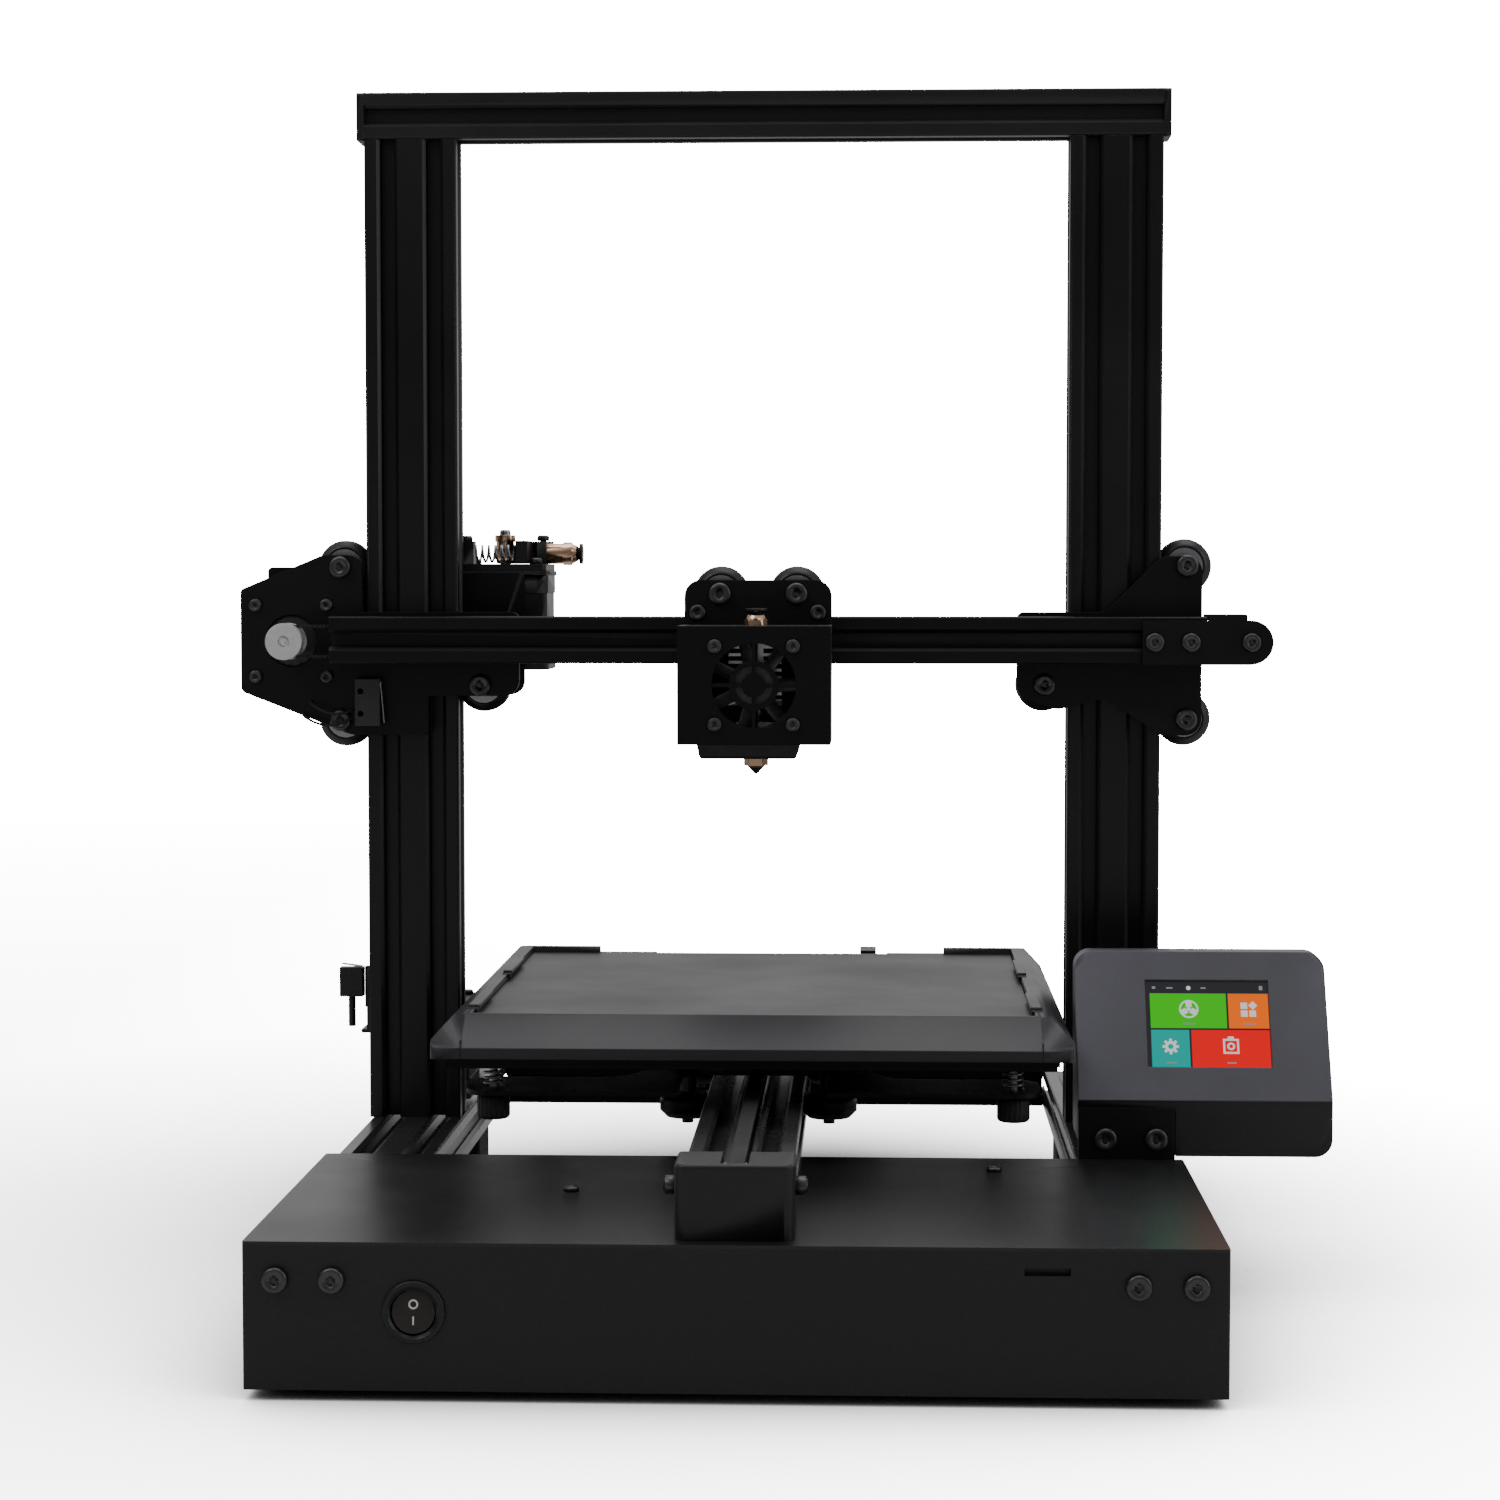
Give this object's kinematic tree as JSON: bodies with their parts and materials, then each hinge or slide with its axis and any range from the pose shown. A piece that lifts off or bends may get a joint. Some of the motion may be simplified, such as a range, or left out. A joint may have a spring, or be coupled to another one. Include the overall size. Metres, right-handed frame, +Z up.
{
  "type": "desktop filament 3d printer",
  "caption": "Open-frame desktop filament 3D printer: low base case, twin uprights, belt-driven beam carriage, sliding bed and leaning display.",
  "frame": {"origin": "centre of the footprint at desk level: X = 0 is the middle of the frame, Z = 0 is the underside of the feet", "axes": "+Z up, -Y towards the front where the user stands, +X to the right seen from the front"},
  "size_m": [0.4588, 0.4984, 0.4991],
  "materials": {
    "case_black": "satin black powder coat",
    "profile_black": "black anodised satin",
    "plate_black": "matt black coat",
    "plastic_black": "fine matt",
    "tyre_black": "turned, smooth",
    "bezel_grey": "satin",
    "screen": "lit colour screen",
    "motor_metal": "black coat with bare caps",
    "switch_plastic": "fine matt",
    "rocker": "glossy",
    "belt": "ribbed",
    "screw_black": "black oxide",
    "steel": "ground",
    "alu": "turned",
    "brass": "turned",
    "rubber_foot": "matt",
    "mat_black": "finely textured",
    "surround_black": "fine matt",
    "fan_grey": "fine matt"
  },
  "bodies": {
    "frame": {"base_case": "case_black", "base_lid": "case_black", "base_rails": "profile_black", "feet": "rubber_foot", "uprights": "profile_black", "top_bar": "profile_black", "belt_tensioner": "plastic_black", "frame_motors": "motor_metal", "brackets": "plate_black", "y_belt": "belt", "z_endstop": "switch_plastic", "electrics": "switch_plastic", "display_housing": "bezel_grey", "display_screen": "screen", "frame_screws": "screw_black"},
    "lead_screw_body": {"lead_screw": "steel"},
    "y_pulley_body": {"y_pulley": "alu"},
    "y_idler_body": {"y_idler": "alu"},
    "rocker_body": {"switch_rocker": "rocker"},
    "gantry": {"x_beam": "profile_black", "gantry_plates": "plate_black", "gantry_motors": "motor_metal", "x_belt": "belt", "x_endstop": "switch_plastic", "feeder_body": "plastic_black", "brass_fittings": "brass", "gantry_screws": "screw_black", "lever_spring": "steel"},
    "x_pulley_body": {"x_pulley": "alu"},
    "x_idler_body": {"x_idler": "alu"},
    "drive_gear_body": {"drive_gear": "brass"},
    "lever_body": {"feeder_lever": "plastic_black"},
    "carriage": {"carriage_plate": "plate_black", "hotend_cover": "case_black", "heatsink": "alu", "nozzle": "brass", "carriage_screws": "screw_black"},
    "fan_body": {"fan_rotor": "fan_grey"},
    "bed": {"bed_carriage": "plate_black", "bed_plate": "alu", "bed_mat": "mat_black", "bed_surround": "surround_black", "bed_springs": "steel"},
    "wheel_left_1": {"gantry_wheel_left_1": "tyre_black"},
    "wheel_left_2": {"gantry_wheel_left_2": "tyre_black"},
    "wheel_left_3": {"gantry_wheel_left_3": "tyre_black"},
    "wheel_right_1": {"gantry_wheel_right_1": "tyre_black"},
    "wheel_right_2": {"gantry_wheel_right_2": "tyre_black"},
    "wheel_right_3": {"gantry_wheel_right_3": "tyre_black"},
    "carriage_roller_1": {"carriage_wheel_1": "tyre_black"},
    "carriage_roller_2": {"carriage_wheel_2": "tyre_black"},
    "carriage_roller_3": {"carriage_wheel_3": "tyre_black"},
    "bed_roller_1": {"bed_wheel_1": "tyre_black"},
    "bed_roller_2": {"bed_wheel_2": "tyre_black"},
    "bed_roller_3": {"bed_wheel_3": "tyre_black"},
    "bed_roller_4": {"bed_wheel_4": "tyre_black"},
    "knob_1": {"levelling_knob_1": "plastic_black"},
    "knob_2": {"levelling_knob_2": "plastic_black"},
    "knob_3": {"levelling_knob_3": "plastic_black"},
    "knob_4": {"levelling_knob_4": "plastic_black"}
  },
  "joints": [
    {"name": "z_slide", "type": "slide", "parent": "frame", "child": "gantry", "axis": [0, 0, 1], "range_m": [-0.0958, 0.158]},
    {"name": "x_slide", "type": "slide", "parent": "gantry", "child": "carriage", "axis": [1, 0, 0], "range_m": [-0.11, 0.099]},
    {"name": "y_slide", "type": "slide", "parent": "frame", "child": "bed", "axis": [0, 1, 0], "range_m": [-0.165, 0.044]},
    {"name": "rocker_hinge", "type": "hinge", "parent": "frame", "child": "rocker_body", "pos_m": [-0.1122, -0.2453, 0.0322], "axis": [1, 0, 0], "range_deg": [0, 13.6]},
    {"name": "fan_spin", "type": "hinge", "parent": "carriage", "child": "fan_body", "pos_m": [-0.0004, -0.0528, 0.2457], "axis": [0, 1, 0], "continuous": true},
    {"name": "gear_spin", "type": "hinge", "parent": "gantry", "child": "drive_gear_body", "pos_m": [-0.1172, 0.0755, 0.3007], "axis": [0, 0, 1], "continuous": true},
    {"name": "lever_hinge", "type": "hinge", "parent": "gantry", "child": "lever_body", "pos_m": [-0.1017, 0.091, 0.3007], "axis": [0, 0, 1], "range_deg": [-6, 0], "stiffness_Nm_per_rad": 3, "springref_deg": 5.73, "deforming": ["lever_spring"]},
    {"name": "wheel_left_1_spin", "type": "hinge", "parent": "gantry", "child": "wheel_left_1", "pos_m": [-0.1827, 0.038, 0.2943], "axis": [0, 1, 0], "continuous": true},
    {"name": "wheel_left_2_spin", "type": "hinge", "parent": "gantry", "child": "wheel_left_2", "pos_m": [-0.1827, 0.038, 0.2279], "axis": [0, 1, 0], "continuous": true},
    {"name": "wheel_left_3_spin", "type": "hinge", "parent": "gantry", "child": "wheel_left_3", "pos_m": [-0.1219, 0.038, 0.2432], "axis": [0, 1, 0], "continuous": true},
    {"name": "wheel_right_1_spin", "type": "hinge", "parent": "gantry", "child": "wheel_right_1", "pos_m": [0.1827, 0.038, 0.2948], "axis": [0, 1, 0], "continuous": true},
    {"name": "wheel_right_2_spin", "type": "hinge", "parent": "gantry", "child": "wheel_right_2", "pos_m": [0.1827, 0.038, 0.2289], "axis": [0, 1, 0], "continuous": true},
    {"name": "wheel_right_3_spin", "type": "hinge", "parent": "gantry", "child": "wheel_right_3", "pos_m": [0.1219, 0.038, 0.2437], "axis": [0, 1, 0], "continuous": true},
    {"name": "carriage_wheel_1_spin", "type": "hinge", "parent": "carriage", "child": "carriage_roller_1", "pos_m": [-0.0166, 0.0119, 0.2829], "axis": [0, 1, 0], "continuous": true},
    {"name": "carriage_wheel_2_spin", "type": "hinge", "parent": "carriage", "child": "carriage_roller_2", "pos_m": [0.0158, 0.0119, 0.2829], "axis": [0, 1, 0], "continuous": true},
    {"name": "carriage_wheel_3_spin", "type": "hinge", "parent": "carriage", "child": "carriage_roller_3", "pos_m": [-0.0004, 0.0119, 0.2435], "axis": [0, 1, 0], "continuous": true},
    {"name": "bed_wheel_1_spin", "type": "hinge", "parent": "bed", "child": "bed_roller_1", "pos_m": [-0.03, -0.01145, 0.0667], "axis": [0, 0, 1], "continuous": true},
    {"name": "bed_wheel_2_spin", "type": "hinge", "parent": "bed", "child": "bed_roller_2", "pos_m": [0.03, -0.01145, 0.0667], "axis": [0, 0, 1], "continuous": true},
    {"name": "bed_wheel_3_spin", "type": "hinge", "parent": "bed", "child": "bed_roller_3", "pos_m": [-0.03, 0.08055, 0.0667], "axis": [0, 0, 1], "continuous": true},
    {"name": "bed_wheel_4_spin", "type": "hinge", "parent": "bed", "child": "bed_roller_4", "pos_m": [0.03, 0.08055, 0.0667], "axis": [0, 0, 1], "continuous": true},
    {"name": "lead_screw_spin", "type": "hinge", "parent": "frame", "child": "lead_screw_body", "pos_m": [-0.1523, 0.071, 0.2], "axis": [0, 0, 1], "continuous": true},
    {"name": "x_pulley_spin", "type": "hinge", "parent": "gantry", "child": "x_pulley_body", "pos_m": [-0.2043, 0.0119, 0.2624], "axis": [0, 1, 0], "continuous": true},
    {"name": "x_idler_spin", "type": "hinge", "parent": "gantry", "child": "x_idler_body", "pos_m": [0.2077, 0.0119, 0.2624], "axis": [0, 1, 0], "continuous": true},
    {"name": "y_pulley_spin", "type": "hinge", "parent": "frame", "child": "y_pulley_body", "pos_m": [0, 0.2283, 0.074], "axis": [1, 0, 0], "continuous": true},
    {"name": "y_idler_spin", "type": "hinge", "parent": "frame", "child": "y_idler_body", "pos_m": [0, -0.226, 0.074], "axis": [1, 0, 0], "continuous": true},
    {"name": "knob_1_turn", "type": "hinge", "parent": "bed", "child": "knob_1", "pos_m": [-0.1052, -0.07245, 0.0757], "axis": [0, 0, 1], "continuous": true},
    {"name": "knob_2_turn", "type": "hinge", "parent": "bed", "child": "knob_2", "pos_m": [0.1052, -0.07245, 0.0757], "axis": [0, 0, 1], "continuous": true},
    {"name": "knob_3_turn", "type": "hinge", "parent": "bed", "child": "knob_3", "pos_m": [-0.1052, 0.14155, 0.0757], "axis": [0, 0, 1], "continuous": true},
    {"name": "knob_4_turn", "type": "hinge", "parent": "bed", "child": "knob_4", "pos_m": [0.1052, 0.14155, 0.0757], "axis": [0, 0, 1], "continuous": true}
  ],
  "couplings": [
    {"joint": "wheel_left_1_spin", "follows": "z_slide", "rad_per_m": 98.039},
    {"joint": "wheel_left_2_spin", "follows": "z_slide", "rad_per_m": 98.039},
    {"joint": "wheel_left_3_spin", "follows": "z_slide", "rad_per_m": -98.039},
    {"joint": "wheel_right_1_spin", "follows": "z_slide", "rad_per_m": -98.039},
    {"joint": "wheel_right_2_spin", "follows": "z_slide", "rad_per_m": -98.039},
    {"joint": "wheel_right_3_spin", "follows": "z_slide", "rad_per_m": 98.039},
    {"joint": "carriage_wheel_1_spin", "follows": "x_slide", "rad_per_m": 102.04},
    {"joint": "carriage_wheel_2_spin", "follows": "x_slide", "rad_per_m": 102.04},
    {"joint": "carriage_wheel_3_spin", "follows": "x_slide", "rad_per_m": -102.04},
    {"joint": "bed_wheel_1_spin", "follows": "y_slide", "rad_per_m": -100},
    {"joint": "bed_wheel_2_spin", "follows": "y_slide", "rad_per_m": 100},
    {"joint": "bed_wheel_3_spin", "follows": "y_slide", "rad_per_m": -100},
    {"joint": "bed_wheel_4_spin", "follows": "y_slide", "rad_per_m": 100},
    {"joint": "lead_screw_spin", "follows": "z_slide", "rad_per_m": -785.4},
    {"joint": "x_pulley_spin", "follows": "x_slide", "rad_per_m": 157.08},
    {"joint": "x_idler_spin", "follows": "x_slide", "rad_per_m": 157.08},
    {"joint": "y_pulley_spin", "follows": "y_slide", "rad_per_m": -157.08},
    {"joint": "y_idler_spin", "follows": "y_slide", "rad_per_m": -157.08}
  ]
}
